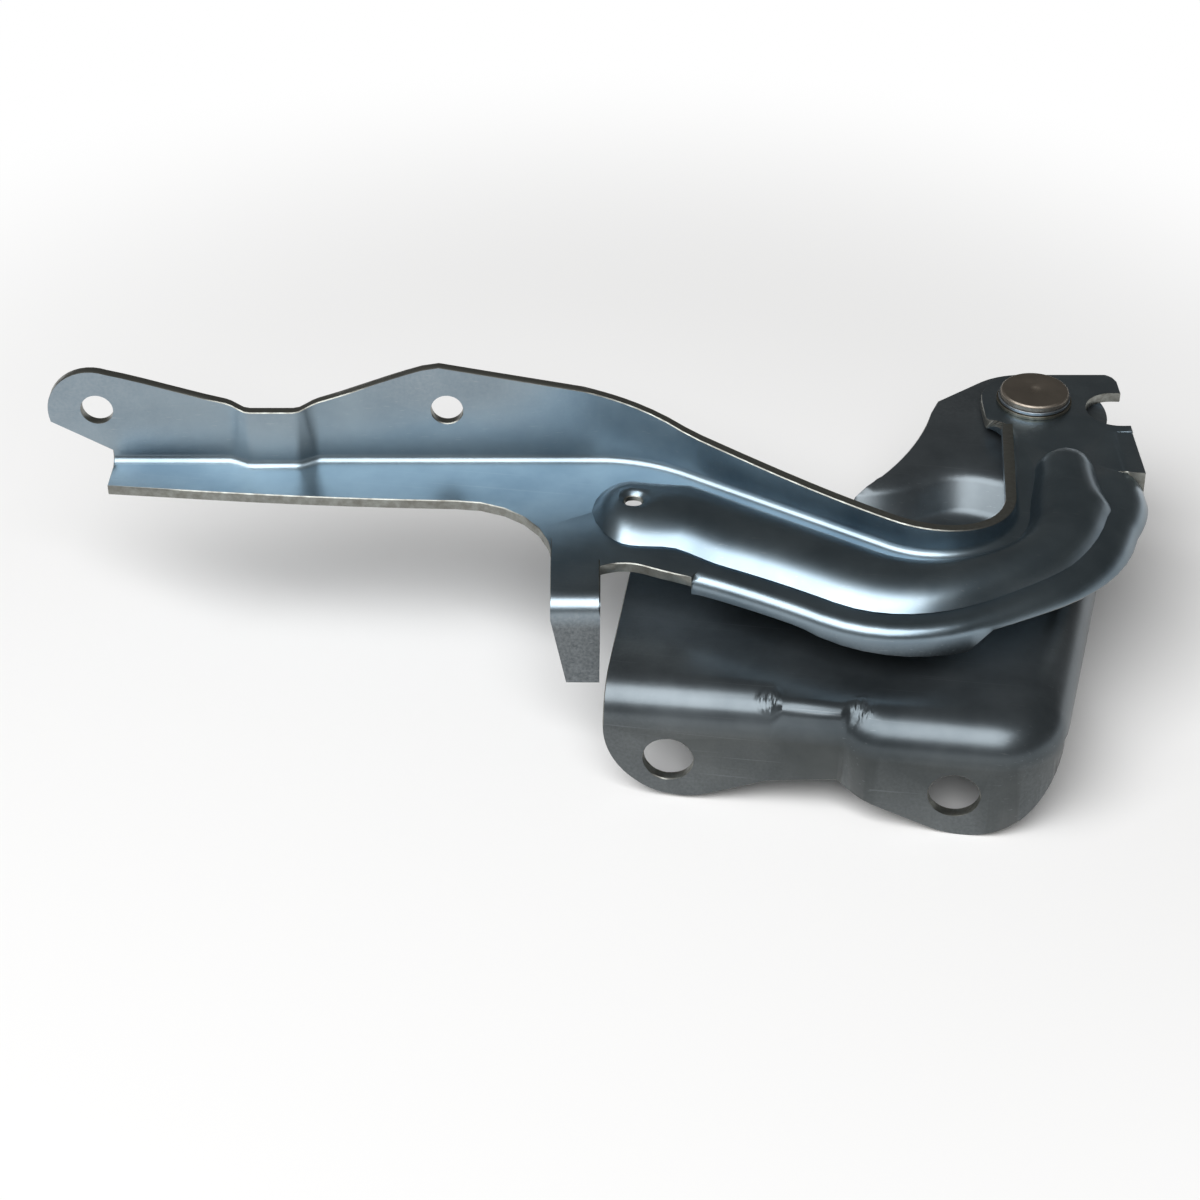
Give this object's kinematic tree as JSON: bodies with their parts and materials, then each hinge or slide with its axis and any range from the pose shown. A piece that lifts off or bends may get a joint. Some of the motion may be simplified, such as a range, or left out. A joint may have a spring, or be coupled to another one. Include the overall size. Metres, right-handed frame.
{
  "type": "bonnet hinge",
  "caption": "Pressed-steel bonnet hinge: a gooseneck arm with a bonnet flange, stiffening bead and stop tab swings on a bushed rivet over a bent base bracket with bolt pads.",
  "frame": {"origin": "centre of the rear base bolt hole on the bolting face", "axes": "+X from the bonnet flange towards the pivot, along the bolting face; +Y away from the bolting face; +Z along the pivot axis, out of the rivet head"},
  "size_m": [0.3097, 0.162, 0.0808],
  "materials": {
    "base_steel": "dark satin dip coat on pressed steel",
    "arm_steel": "blue-grey satin dip coat on pressed steel",
    "bush_bronze": "plain bearing bronze",
    "rivet_steel": "cold headed, oiled",
    "washer_steel": "zinc plated"
  },
  "bodies": {
    "base": {"base_bracket": "base_steel", "pivot_rivet": "rivet_steel", "head_washer": "washer_steel", "backing_washer": "washer_steel"},
    "arm": {"bonnet_arm": "arm_steel", "front_bush": "bush_bronze", "rear_bush": "bush_bronze"}
  },
  "joints": [
    {"name": "bonnet_swing", "type": "hinge", "parent": "base", "child": "arm", "pos_m": [0.017, 0.14, 0.037], "axis": [0, 0, -1], "range_deg": [0, 60]}
  ]
}
